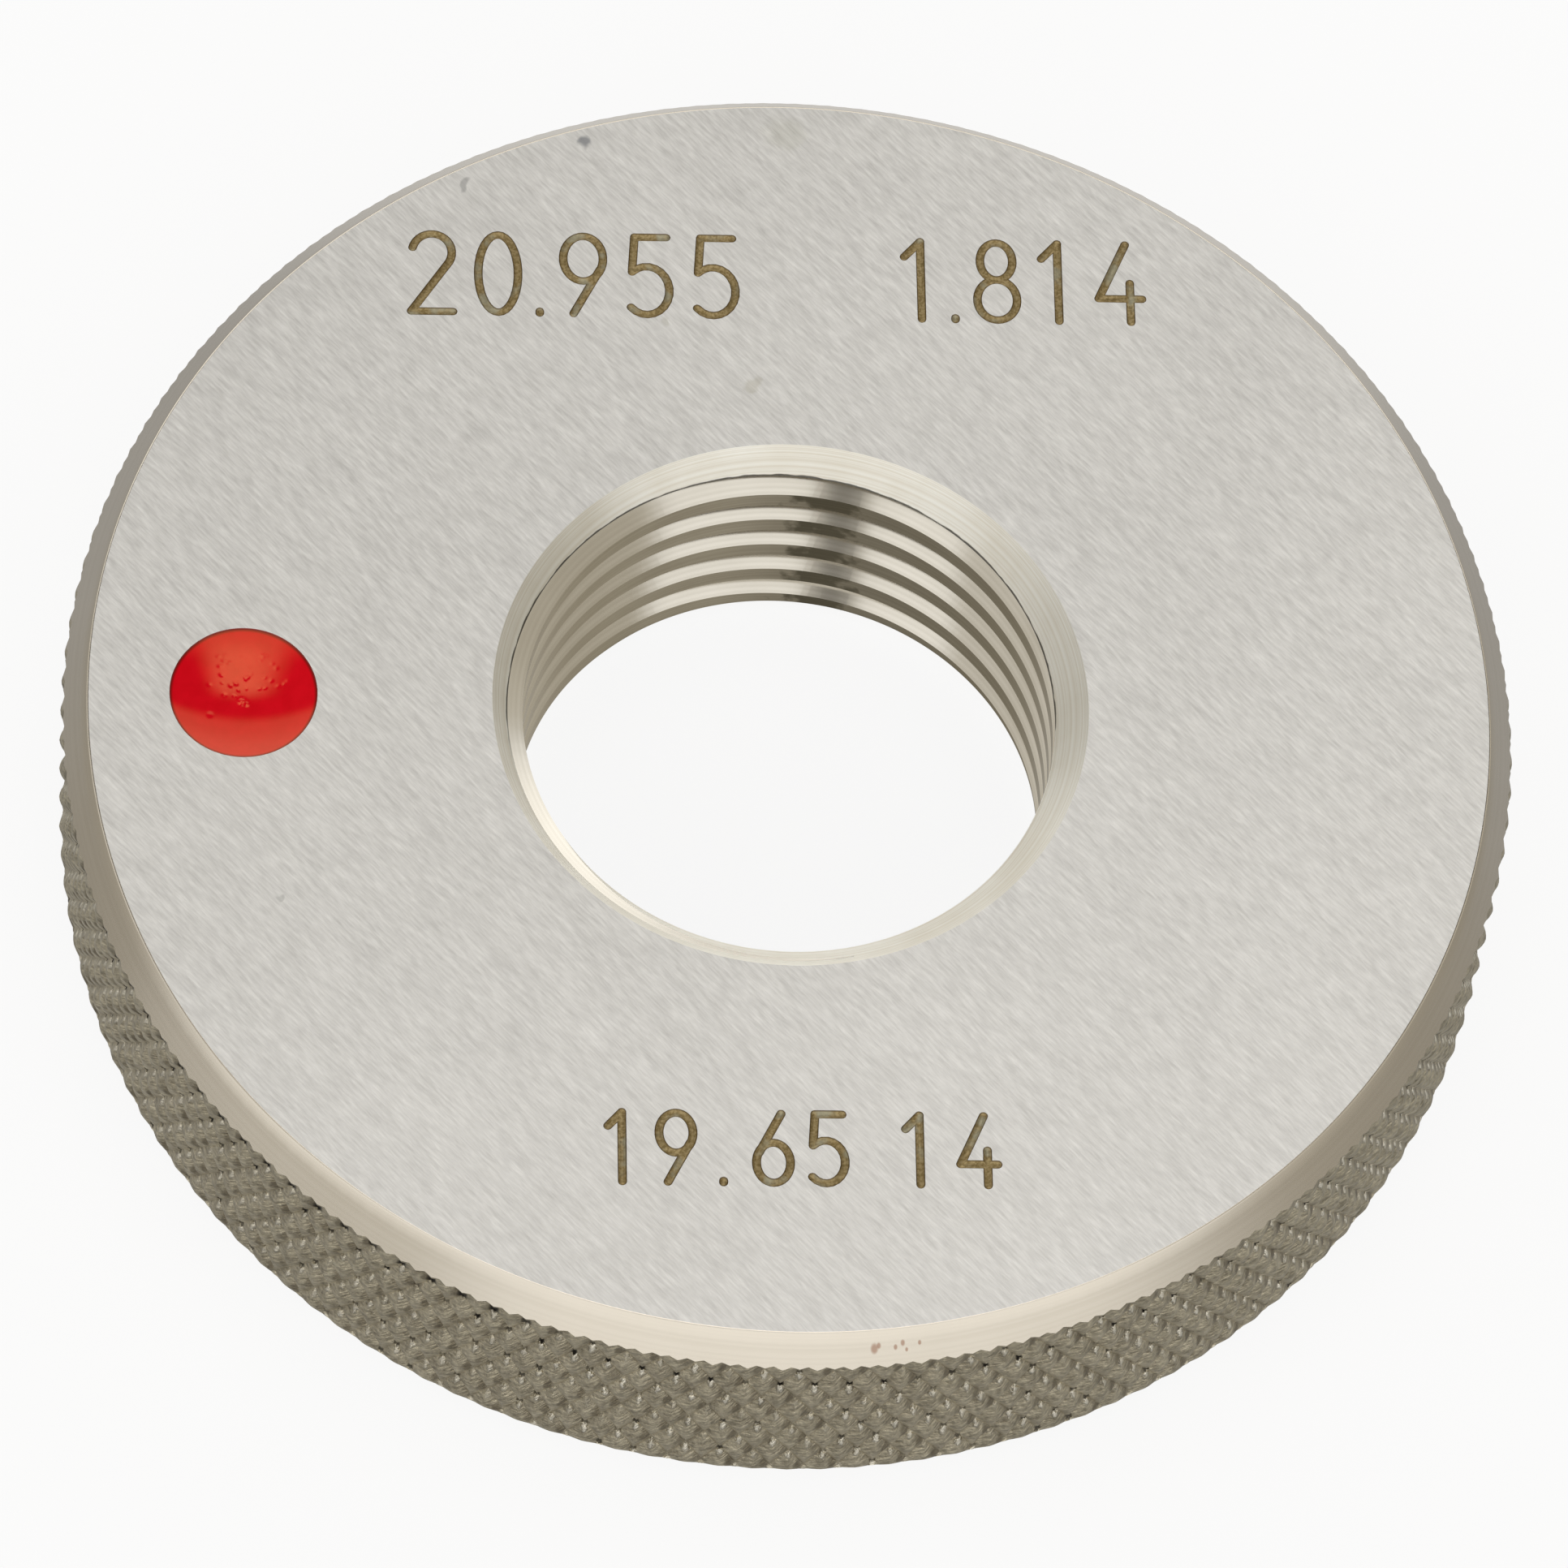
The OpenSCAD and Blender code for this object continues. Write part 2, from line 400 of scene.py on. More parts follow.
def rim_grid():
    """The bevels and the knurl as one band that starts and ends at the join on the flat faces."""
    step = np.arange(RIM_COLUMNS) / SUBS
    rows_r, rows_z, tags, grid_row = zip(*rim_rows(step))
    turn = 2 * np.pi * np.arange(RIM_COLUMNS) / RIM_COLUMNS
    r, z = np.array(rows_r), np.array(rows_z)
    verts = np.stack([r * np.cos(turn), r * np.sin(turn), z], -1).reshape(-1, 3)
    faces, face_tags = [], []
    here = np.arange(RIM_COLUMNS)
    after = (here + 1) % RIM_COLUMNS
    for k in range(len(tags) - 1):
        upper, lower = k * RIM_COLUMNS, (k + 1) * RIM_COLUMNS
        a, b, c, d = upper + here, upper + after, lower + after, lower + here
        one_way = np.stack([a, d, c, a, c, b], -1)
        pair = {tags[k], tags[k + 1]}
        if pair == {KNURL}:
            s, t = step + 0.5 / SUBS, grid_row[k + 1] + 0.5 / SUBS
            du = 1 - np.abs((s + t) % 2 - 1)
            dv = 1 - np.abs((s - t) % 2 - 1)
            other_way = np.stack([a, d, b, d, c, b], -1)
            triangles = np.where((du < dv)[:, None], one_way, other_way).reshape(-1, 3)
            tag = KNURL
        else:
            triangles = one_way.reshape(-1, 3)
            tag = BEVEL if BEVEL in pair else FACE
        faces.append(triangles)
        face_tags.append(np.full(len(triangles), tag))
    faces, face_tags = np.concatenate(faces), np.concatenate(face_tags)
    kept, where = np.unique(np.round(verts, 5), axis=0, return_inverse=True)
    faces = where.reshape(-1)[faces]
    a, b, c = faces.T
    whole = (a != b) & (b != c) & (c != a)
    return kept, faces[whole], face_tags[whole]


def ring_cutters():
    """Everything that is cut out of the ring inside its rim, with the slot of what is left."""
    bore = [(0, -PAST), (CREST_R, -PAST), (CREST_R, RING_H + PAST), (0, RING_H + PAST)]
    cutters = [
        (revolved(bore, BORE_STEPS), CREST),
        (thread_groove(), FLANK),
        (countersink(TOP_SINK_D, True), CONE),
        (countersink(LOW_SINK_D, False), CONE),
        (mark_drill(), DIMPLE),
    ]
    for number in NUMBERS:
        cutters += [(stroke_cutter(stroke), ENGRAVED) for stroke in number_strokes(*number)]
    return cutters


def cut_core(slots):
    """Plain disc inside the rim with its bore, thread, countersinks, mark and engraving."""
    disc = [(0, 0), (JOIN_R, 0), (JOIN_R, RING_H), (0, RING_H)]
    core_mesh = closed_mesh("core", *revolved(disc, RIM_COLUMNS), slots, FACE)
    core = bpy.data.objects.new("core", core_mesh)
    group = bpy.data.collections.new("cutters")
    for k, ((verts, faces), tag) in enumerate(ring_cutters()):
        name = f"cutter_{k}"
        group.objects.link(bpy.data.objects.new(name, closed_mesh(name, verts, faces, slots, tag)))
    bpy.context.scene.collection.children.link(group)
    bpy.context.scene.collection.objects.link(core)
    cut = core.modifiers.new("cut", "BOOLEAN")
    cut.operation, cut.solver, cut.operand_type = "DIFFERENCE", "EXACT", "COLLECTION"
    cut.collection, cut.material_mode = group, "INDEX"
    bpy.context.view_layer.update()
    depsgraph = bpy.context.evaluated_depsgraph_get()
    me = bpy.data.meshes.new_from_object(core.evaluated_get(depsgraph))
    for ob in [*group.objects, core]:
        data = ob.data
        bpy.data.objects.remove(ob)
        bpy.data.meshes.remove(data)
    bpy.data.collections.remove(group)
    return me


def at_join(vert, near=1e-3):
    """Whether a corner is where the core and the rim are joined."""
    return abs(vert.co.xy.length - JOIN_R) < near


def ring_mesh(slots, crease=10, sharp_from=32, upright=0.1, weld=2e-3):
    """The whole steel ring in metres: its cut core and its rim in one mesh."""
    me = cut_core(slots)
    bm = bmesh.new()
    bm.from_mesh(me)
    wall = [f for f in bm.faces if abs(f.normal.z) < upright and all(map(at_join, f.verts))]
    bmesh.ops.delete(bm, geom=wall, context="FACES_ONLY")
    loose = [e for e in bm.edges if not e.link_faces]
    bmesh.ops.delete(bm, geom=loose, context="EDGES")
    verts, faces, tags = rim_grid()
    rim = bpy.data.meshes.new("rim")
    rim.from_pydata(verts.tolist(), [], faces.tolist())
    rim.polygons.foreach_set("material_index", tags.tolist())
    bm.from_mesh(rim)
    bpy.data.meshes.remove(rim)
    bmesh.ops.remove_doubles(bm, verts=list(filter(at_join, bm.verts)), dist=weld)
    bmesh.ops.recalc_face_normals(bm, faces=bm.faces)
    bmesh.ops.scale(bm, vec=(MM,) * 3, verts=bm.verts)
    bm.edges.index_update()
    creases = []
    for e in bm.edges:
        kinds = {f.material_index for f in e.link_faces}
        bent_flank = kinds == {FLANK} and e.calc_face_angle() > math.radians(crease)
        if len(kinds) > 1 or bent_flank:
            creases.append(e.index)
    bm.to_mesh(me)
    bm.free()
    me.set_sharp_from_angle(angle=math.radians(sharp_from))
    tags = np.zeros(len(me.polygons), np.int32)
    me.polygons.foreach_get("material_index", tags)
    me.polygons.foreach_set("use_smooth", tags != FACE)
    sharp = np.zeros(len(me.edges), bool)
    me.edges.foreach_get("use_edge_sharp", sharp)
    sharp[creases] = True
    me.edges.foreach_set("use_edge_sharp", sharp)
    return me


# Larger bubbles and dents in the lacquer: place from the mark's centre, size and height
BUBBLES = (
    (-0.06, -0.1, 0.07, 0.03),
    (0.12, -0.22, 0.06, 0.02),
    (-0.02, -0.22, 0.05, -0.02),
    (-1.2, -0.75, 0.06, 0.015),
)
PIT_COUNT = 44


def lacquer_mesh(slots, rings=60, steps=192, sharp_from=40):
    """The lacquer in metres: its dished surface with small pits and a few larger bubbles."""
    r = MARK_R * np.arange(1, rings + 1) / rings
    turn = 2 * np.pi * np.arange(steps) / steps
    x, y = np.outer(r, np.cos(turn)), np.outer(r, np.sin(turn))
    z = -FILL_DROP - FILL_HOLLOW * (1 - (x * x + y * y) / MARK_R**2)
    draws = np.random.default_rng(5)
    pits = []
    for _ in range(PIT_COUNT):
        place = draws.normal(0.1, 0.8), draws.uniform(0.1, 1.7)
        pits.append((*place, draws.uniform(0.03, 0.055), draws.uniform(-0.014, -0.006)))
    for px, py, size, lift in (*pits, *BUBBLES):
        z += lift * np.exp(-((x - px) ** 2 + (y - py) ** 2) / (2 * size**2))
    z = np.minimum(z, -FILL_DROP)
    verts = np.stack([x - MARK_AT, y, z + RING_H], -1).reshape(-1, 3).tolist()
    middle = len(verts)
    verts.append([-MARK_AT, 0, RING_H - FILL_DROP - FILL_HOLLOW])
    base = len(verts)
    foot_z = RING_H - MARK_WALL
    verts += [[MARK_R * math.cos(a) - MARK_AT, MARK_R * math.sin(a), foot_z] for a in turn]
    verts.append([-MARK_AT, 0, RING_H - MARK_DEPTH])
    faces = []
    for i in range(steps):
        j = (i + 1) % steps
        faces.append((middle, i, j))
        for k in range(rings - 1):
            a = k * steps
            faces.append((a + i, a + steps + i, a + steps + j, a + j))
        a = (rings - 1) * steps
        faces.append((a + i, base + i, base + j, a + j))
        faces.append((base + steps, base + j, base + i))
    me = closed_mesh("red_mark_visual", verts, faces, slots, 0)
    me.transform(Matrix.Scale(MM, 4))
    me.shade_smooth()
    me.set_sharp_from_angle(angle=math.radians(sharp_from))
    return me


class Look:
    """The nodes of one material or world."""

    def __init__(self, holder):
        holder.use_nodes = True
        self.tree = holder.node_tree
        self.tree.nodes.clear()

    def node(self, kind, inputs=(), **settings):
        n = self.tree.nodes.new(kind)
        for key, value in settings.items():
            setattr(n, key, value)
        for key, value in dict(inputs).items():
            self.put(n.inputs[key], value)
        return n

    def put(self, socket, value):
        """Link a node or a socket to a socket, or set the socket's value."""
        if isinstance(value, bpy.types.NodeSocket):
            self.tree.links.new(value, socket)
        elif isinstance(value, bpy.types.Node):
            self.tree.links.new(value.outputs[0], socket)
        else:
            socket.default_value = value

    def math(self, op, a, b=0.0):
        return self.node("ShaderNodeMath", {0: a, 1: b}, operation=op).outputs[0]

    def add(self, first, *others):
        for value in others:
            first = self.math("ADD", first, value)
        return first

    def times(self, first, *others):
        for value in others:
            first = self.math("MULTIPLY", first, value)
        return first

    def minus(self, a, b):
        return self.math("SUBTRACT", a, b)

    def over(self, a, b):
        return self.math("DIVIDE", a, b)

    def larger(self, a, b):
        return self.math("MAXIMUM", a, b)

    def distance(self, a, b):
        """Distance between a and b."""
        return self.math("ABSOLUTE", self.minus(a, b))

    def length(self, a, b):
        """Length of the vector with the parts a and b."""
        return self.math("SQRT", self.add(self.times(a, a), self.times(b, b)))

    def turn(self, x, y):
        """Direction of the vector with the parts x and y, in degrees."""
        return self.times(self.math("ARCTAN2", y, x), 180 / math.pi)

    def ramp(self, value, low, high, to_low=0.0, to_high=1.0, smooth=True):
        """Map low to to_low and high to to_high, and stay there outside."""
        return self.node(
            "ShaderNodeMapRange",
            {"Value": value, "From Min": low, "From Max": high, "To Min": to_low,
             "To Max": to_high},
            interpolation_type="SMOOTHSTEP" if smooth else "LINEAR",
        ).outputs[0]

    def window(self, value, start, full, fade, end):
        """1 between full and fade, and 0 before start and after end."""
        return self.times(self.ramp(value, start, full), self.ramp(value, end, fade))

    def sway(self, noise, amount, spread=0.2):
        """Noise brought to between minus amount and amount."""
        return self.ramp(noise, 0.5 - spread, 0.5 + spread, -amount, amount, smooth=False)

    def mix(self, factor, a, b):
        n = self.node("ShaderNodeMix", data_type="RGBA")
        self.put(n.inputs["Factor"], factor)
        self.put(n.inputs[6], a)
        self.put(n.inputs[7], b)
        return n.outputs[2]

    def noise(self, where, scale, detail=2.0, rough=0.5, dims="3D"):
        n = self.node("ShaderNodeTexNoise", noise_dimensions=dims)
        self.put(n.inputs["W" if dims == "1D" else "Vector"], where)
        n.inputs["Scale"].default_value = scale
        n.inputs["Detail"].default_value = detail
        n.inputs["Roughness"].default_value = rough
        return n.outputs[0]


class Surface(Look):
    """The nodes of one material, with the place on the object in millimetres."""

    def __init__(self, name):
        self.material = bpy.data.materials.new(name)
        super().__init__(self.material)
        metres = self.node("ShaderNodeTexCoord").outputs["Object"]
        self.mm = self.node("ShaderNodeVectorMath", {0: metres, 1: (1 / MM,) * 3},
                            operation="MULTIPLY").outputs[0]
        self.x, self.y, self.z = self.node("ShaderNodeSeparateXYZ", {0: self.mm}).outputs
        self.r = self.length(self.x, self.y)

    def spot(self, x, y, at, wide, soft=0.4):
        """Mask of a round spot at a place on the face, 1 in its middle."""
        away = self.length(self.minus(x, at[0]), self.minus(y, at[1]))
        return self.ramp(away, wide, wide * soft)

    def shade(self, shader):
        """Show a shader on the surface."""
        self.node("ShaderNodeOutputMaterial", {"Surface": shader})

    def metal(self, base, rough, height, depth):
        """Bare metal; depth is the height's scale in millimetres."""
        n = self.node("ShaderNodeBsdfPrincipled", {"Base Color": base, "Roughness": rough})
        n.inputs["Metallic"].default_value = 1.0
        bump = self.node("ShaderNodeBump", {"Height": height})
        bump.inputs["Distance"].default_value = depth * MM
        self.put(n.inputs["Normal"], bump)
        self.shade(n)
        return n


def colour(r, g, b):
    """A colour with its alpha."""
    return (r, g, b, 1.0)


# Direction of the grinding lines on the flat faces
GRIND_TURN = math.radians(-48)
FACE_DARK, FACE_LIGHT = colour(0.64, 0.63, 0.611), colour(0.955, 0.947, 0.925)
# Small stains on the face: place, radius, share of their tint, tint
FACE_STAINS = (
    ((0.15, 24.4), 1.0, 0.16, colour(0.42, 0.42, 0.28)),
    ((-7.5, 23.8), 0.34, 0.75, colour(0.24, 0.25, 0.27)),
    ((-11.85, 21.8), 0.28, 0.5, colour(0.30, 0.30, 0.30)),
    ((-1.15, 13.35), 0.4, 0.3, colour(0.40, 0.37, 0.26)),
    ((-4.4, 16.05), 0.3, 0.25, colour(0.42, 0.40, 0.30)),
    ((-18.6, -8.4), 0.2, 0.4, colour(0.38, 0.38, 0.36)),
)
# Small brown specks on the bevel: place and radius, and the share of their tint
BEVEL_SPECKS = (
    ((2.6, -25.8), 0.17),
    ((2.75, -25.72), 0.1),
    ((3.35, -25.72), 0.09),
    ((3.6, -25.6), 0.1),
    ((3.75, -25.75), 0.07),
    ((4.2, -25.55), 0.08),
)
SPECK_TINT, SPECK_SHARE = colour(0.36, 0.2, 0.13), 0.7
# Tints of the painted shade along the upper countersink's thread edge, and of the crests'
# darkening with their painted reflection
EDGE_SHADE_TINT, CREST_DARK_AND_REFLECTION_TINT = colour(0.05, 0.045, 0.035), colour(0.035, 0.03, 0.018)
KNURL_DARK, KNURL_LIGHT = colour(0.28, 0.242, 0.17), colour(0.78, 0.71, 0.54)
# Painted highlight of the knurl's lips, painted shade of its pits and painted shade beside them
KNURL_LIP_HIGHLIGHT, KNURL_PIT_SHADE = colour(1.0, 0.95, 0.82), colour(0.02, 0.016, 0.012)
KNURL_SIDE_SHADE = colour(0.20, 0.165, 0.11)


def ground_steel():
    """Flat faces: short fine grinding lines, all in one direction, a few small stains, and painted
    light that makes them lighter towards the right and the near side.
    """
    k = Surface("ground_steel")

    def lines(across, along, detail, rough):
        turned = k.node("ShaderNodeVectorRotate", {"Vector": k.mm, "Angle": -GRIND_TURN},
                        rotation_type="Z_AXIS")
        drawn_out = k.node("ShaderNodeVectorMath", {0: turned, 1: (along, across, 1.0)},
                           operation="MULTIPLY")
        return k.noise(drawn_out, 1.0, detail, rough)

    fine = lines(across=10.5, along=1.45, detail=3.0, rough=0.6)
    wide = lines(across=3.6, along=0.8, detail=2.0, rough=0.5)
    mottle = k.noise(k.mm, 1.4, detail=4.0, rough=0.7)
    cloud = k.noise(k.mm, 0.09)
    tone = k.add(k.sway(fine, 0.36, spread=0.25), k.sway(wide, 0.10), k.sway(mottle, 0.05),
                 k.sway(cloud, 0.05))
    # Painted light: the faces get lighter towards the right and towards the near side
    tone = k.add(tone, k.ramp(k.x, -22, 22, -0.15, 0.06, smooth=False),
                 k.ramp(k.y, 22, -22, -0.04, 0.08, smooth=False))
    base = k.mix(k.add(0.5, tone), FACE_DARK, FACE_LIGHT)
    wander = k.node("ShaderNodeTexNoise", {"Vector": k.mm, "Scale": 1.3, "Detail": 2.0})
    ragged = k.node("ShaderNodeVectorMath", {0: k.mm, 1: wander.outputs[1]}, operation="ADD")
    x, y, _ = k.node("ShaderNodeSeparateXYZ", {0: ragged}).outputs
    for (at_x, at_y), radius, share, tint in FACE_STAINS:
        stain = k.spot(x, y, (at_x + 0.5, at_y + 0.5), radius)
        base = k.mix(k.times(stain, share), base, tint)
    rough = k.ramp(fine, 0.3, 0.7, 0.40, 0.47, smooth=False)
    k.metal(base, rough, height=fine, depth=0.003)
    return k.material


def turned_tone(k, light, dark, along, scale, crisp=0.2):
    """Colour of a turned surface with fine rings round the axis, and the rings' noise."""
    rings = k.noise(along, scale, detail=3.0, rough=0.65, dims="1D")
    cloud = k.noise(k.mm, 0.35, detail=3.0, rough=0.55)
    tone = k.add(k.times(k.ramp(rings, 0.5 - crisp, 0.5 + crisp), 0.6),
                 k.times(k.ramp(cloud, 0.3, 0.7), 0.4))
    return k.mix(tone, dark, light), rings


def bevel_steel():
    """Bevels: smoothly turned, with a few brown specks at the near side."""
    k = Surface("bevel_steel")
    base, rings = turned_tone(k, colour(0.755, 0.703, 0.617), colour(0.72, 0.667, 0.578), k.r, 9.0)
    for at, radius in BEVEL_SPECKS:
        base = k.mix(k.times(k.spot(k.x, k.y, at, radius), SPECK_SHARE), base, SPECK_TINT)
    k.metal(base, 0.25, height=rings, depth=0.0006)
    return k.material


def groove_gap(k):
    """Distance in millimetres above the upper edge of the thread's groove, at any place."""
    turns = k.minus(k.over(k.turn(k.x, k.y), 360), THREAD_START / 360)
    groove = k.minus(k.over(k.minus(k.z, THREAD_FIRST_Z), THREAD_PITCH), turns)
    away = k.times(k.minus(groove, k.math("ROUND", groove)), THREAD_PITCH)
    wide = k.ramp(k.r, CREST_R, ROOT_R, half_groove(CREST_R), half_groove(ROOT_R), smooth=False)
    return k.minus(away, wide)


def sink_steel():
    """Countersinks: bright coarse rings, and on the upper one's far side a line of painted shade
    along the thread's edge."""
    k = Surface("sink_steel")
    base, rings = turned_tone(k, colour(1.0, 0.99, 0.93), colour(0.83, 0.79, 0.69), k.r, 11.0,
                              crisp=0.1)
    gap = k.add(groove_gap(k), k.ramp(k.noise(k.mm, 1.2), 0.3, 0.7, -0.02, 0.03))
    # Painted shade: a thin dark line on the cone just above where the thread's groove cuts it
    edge_shade = k.window(gap, -0.20, -0.10, 0.05, 0.09)
    far_side, upper_sink = k.ramp(k.y, -3.0, 0.0), k.ramp(k.z, 8.0, 8.5)
    base = k.mix(k.times(edge_shade, far_side, upper_sink, 0.88), base, EDGE_SHADE_TINT)
    n = k.metal(base, 0.48, height=rings, depth=0.006)
    n.inputs["Anisotropic"].default_value = 0.85
    n.inputs["Anisotropic Rotation"].default_value = 0.25
    k.put(n.inputs["Tangent"], k.node("ShaderNodeTangent", direction_type="RADIAL", axis="Z"))
    return k.material


def flank_steel():
    """The thread's flanks and root: the brightest and smoothest metal."""
    k = Surface("flank_steel")
    base, rings = turned_tone(k, colour(0.78, 0.745, 0.67), colour(0.67, 0.635, 0.56), k.r, 5.0)
    k.metal(base, 0.14, height=rings, depth=0.001)
    return k.material


def crest_steel():
    """The thread's crests: brown, darker on the far wall and most on its right half, with a
    painted reflection of the dark shape near the camera at one place."""
    k = Surface("crest_steel")
    base, rings = turned_tone(k, colour(0.32, 0.285, 0.215), colour(0.24, 0.208, 0.152), k.z, 6.0)
    turn = k.turn(k.x, k.y)
    far_wall_darkening = k.add(k.ramp(turn, 105, 75, 0.1, 0.60), k.ramp(turn, 60, 20, 0.0, 0.08),
                 k.ramp(turn, 105, 150, 0.0, 0.08))
    far_wall_darkening = k.times(far_wall_darkening, k.ramp(turn, -60, 0), k.ramp(turn, 178, 155))
    # Painted reflection: a dark patch where the flanks reflect the dark shape near the camera
    ragged = k.add(turn, k.sway(k.noise(k.mm, 1.5, detail=3.0), 4.0))
    painted_camera_reflection = k.ramp(k.distance(ragged, 80), 12, 3)
    base = k.mix(k.times(k.larger(far_wall_darkening, painted_camera_reflection), 0.88), base, CREST_DARK_AND_REFLECTION_TINT)
    n = k.metal(base, 0.3, height=rings, depth=0.004)
    n.inputs["Specular Tint"].default_value = colour(0.82, 0.77, 0.67)
    return k.material


def drilled_steel():
    """The drilled mark's wall, dark red: a lacquer stain darkened by painted shade."""
    k = Surface("drilled_steel")
    # Painted shade: the narrow wall is darkened over the lacquer's red
    base, rings = turned_tone(k, colour(0.30, 0.07, 0.06), colour(0.2, 0.04, 0.035), k.z, 9.0)
    k.metal(base, 0.35, height=rings, depth=0.01)
    return k.material


def from_even(k, value):
    """Distance of a value from the nearest even number, with its sign, and that number's half."""
    near = k.math("ROUND", k.times(value, 0.5))
    return k.minus(value, k.times(near, 2.0)), near


def knurl_step(k):
    """Place round the rim in steps of the source's grid."""
    return k.times(k.turn(k.x, k.y), KNURL_COUNT / 180)


def knurl_marks(k):
    """Masks of the pits where the grooves cross, with their painted shade, of the lips below them,
    with their painted highlight, and of the painted shade beside them."""
    step = knurl_step(k)
    row = k.add(k.over(k.minus(k.z, RING_H - KNURL_DROP), ROW_H), ROWS_BELOW)
    row = k.add(row, k.sway(k.noise(k.mm, 0.9), 0.12))
    du, u_near = from_even(k, k.add(step, row))
    dv, v_near = from_even(k, k.minus(step, row))
    # Place from the nearest crossing in millimetres, up the rim and round it
    up_mm = k.times(k.minus(du, dv), ROW_H / 2)
    side_mm = k.times(k.add(du, dv), KNURL_PITCH / 4)
    # Two chances from 0 to 1 for each crossing
    crossing = k.node("ShaderNodeCombineXYZ", {0: u_near, 1: v_near})
    chance = k.node("ShaderNodeTexWhiteNoise", {"Vector": crossing}, noise_dimensions="3D")
    luck = k.node("ShaderNodeSeparateXYZ", {0: chance.outputs["Color"]}).outputs[0]
    other_luck = chance.outputs["Value"]

    def blob(up, side, high, broad):
        """Distance from a place near the crossing, 1 at the rim of an oval round it."""
        return k.length(k.over(k.minus(up_mm, up), high), k.over(k.minus(side_mm, side), broad))

    # Most pits are in the second row from the top, and at the left also at the bevel
    turn = k.turn(k.x, k.y)
    left = k.larger(k.ramp(turn, -104, -114), k.ramp(turn, 60, 90))
    second_row = k.window(k.z, 7.0, 7.2, 8.2, 8.4)
    edge_row = k.times(k.ramp(k.z, 8.2, 8.4), left)
    pit_share = k.larger(
        k.ramp(other_luck, 0.45, 0.95, 0.05, 0.8),
        k.times(k.larger(second_row, edge_row), k.ramp(other_luck, 0.0, 0.5, 0.5, 1.0)),
    )
    pit_share = k.larger(pit_share, edge_row)
    pit_at = blob(k.add(0.03, k.times(edge_row, 0.05)), 0.0,
                  k.add(0.21, k.times(edge_row, 0.12)), k.add(0.13, k.times(edge_row, 0.09)))
    pit_and_shade = k.times(k.ramp(pit_at, 1.1, 0.45), pit_share)
    uneven = k.sway(k.noise(k.mm, 6.0, rough=0.6), 0.35)
    lip_at = k.add(blob(-0.27, 0.02, 0.25, 0.155), uneven)
    lip_and_highlight = k.times(k.ramp(lip_at, 1.1, 0.3), k.ramp(luck, 0.0, 0.6, 0.1, 1.0),
                  k.minus(1.0, k.times(left, 0.4)))
    side_shade_at = k.add(blob(0.12, -0.22, 0.42, 0.20), uneven)
    side_shade = k.times(k.ramp(side_shade_at, 1.2, 0.3), k.ramp(luck, 0.9, 0.2, 0.15, 0.75))
    return pit_and_shade, lip_and_highlight, side_shade


def knurled_steel():
    """Knurl: brown-grey diamonds with a fine slanted hatch, pits and lips, painted shade in the
    pits and beside them, and a painted highlight on the lips.
    """
    k = Surface("knurled_steel")
    pit_and_shade, lip_and_highlight, side_shade = knurl_marks(k)
    grain = k.noise(k.mm, 5.0, detail=4.0, rough=0.7)
    patch = k.noise(k.mm, 1.3, detail=3.0, rough=0.6)
    step = knurl_step(k)
    slant = k.add(k.z, k.times(step, -0.32))
    hatch_at = k.node("ShaderNodeCombineXYZ", {0: k.times(step, 1.5), 1: k.times(slant, 8.0)})
    hatch = k.noise(hatch_at, 1.0, rough=0.6)
    tone = k.add(k.sway(grain, 0.28), k.sway(hatch, 0.30), k.sway(patch, 0.20))
    base = k.mix(k.add(0.52, tone), KNURL_DARK, KNURL_LIGHT)
    # Painted shade beside the lips, painted highlight on the lips and painted shade in the pits
    base = k.mix(side_shade, base, KNURL_SIDE_SHADE)
    base = k.mix(lip_and_highlight, base, KNURL_LIP_HIGHLIGHT)
    base = k.mix(pit_and_shade, base, KNURL_PIT_SHADE)
    height = k.add(k.times(pit_and_shade, -0.10), k.times(lip_and_highlight, 0.10), k.sway(hatch, 0.014),
                   k.sway(grain, 0.012))
    k.metal(base, k.ramp(grain, 0.3, 0.7, 0.34, 0.5), height, depth=1.0)
    return k.material


def engraved_steel():
    """Engraved grooves: brown tint, darkest at their edges."""
    k = Surface("engraved_steel")
    grain = k.noise(k.mm, 9.0, detail=3.0, rough=0.6)
    cloud = k.noise(k.mm, 1.1, rough=0.6)
    floor = k.mix(k.ramp(grain, 0.35, 0.65), colour(0.24, 0.175, 0.075), colour(0.40, 0.31, 0.16))
    floor = k.mix(k.ramp(cloud, 0.52, 0.68, 0.0, 0.6), floor, colour(0.40, 0.40, 0.31))
    depth = k.minus(RING_H, k.z)
    base = k.mix(k.ramp(depth, 0.06, 0.012), floor, colour(0.15, 0.11, 0.06))
    k.metal(base, 0.42, height=grain, depth=0.02)
    return k.material


def red_lacquer():
    """Glossy red lacquer with a thin line of painted shade at its rim."""
    k = Surface("red_lacquer")
    grain = k.noise(k.mm, 1.5, detail=3.0, rough=0.55)
    base = k.mix(k.ramp(grain, 0.3, 0.7), colour(0.70, 0.002, 0.011), colour(0.76, 0.003, 0.014))
    # Painted shade: a thin dark line where the lacquer meets the drilled wall
    rim = k.minus(1.0, k.spot(k.x, k.y, (-MARK_AT, 0.0), MARK_R - 0.01, soft=0.96))
    base = k.mix(k.times(rim, 0.75), base, colour(0.16, 0.008, 0.008))
    n = k.node("ShaderNodeBsdfPrincipled", {"Base Color": base, "Roughness": 0.09})
    n.inputs["IOR"].default_value = 1.55
    n.inputs["Specular IOR Level"].default_value = 0.8
    n.inputs["Specular Tint"].default_value = colour(1.0, 0.60, 0.24)
    k.shade(n)
    return k.material


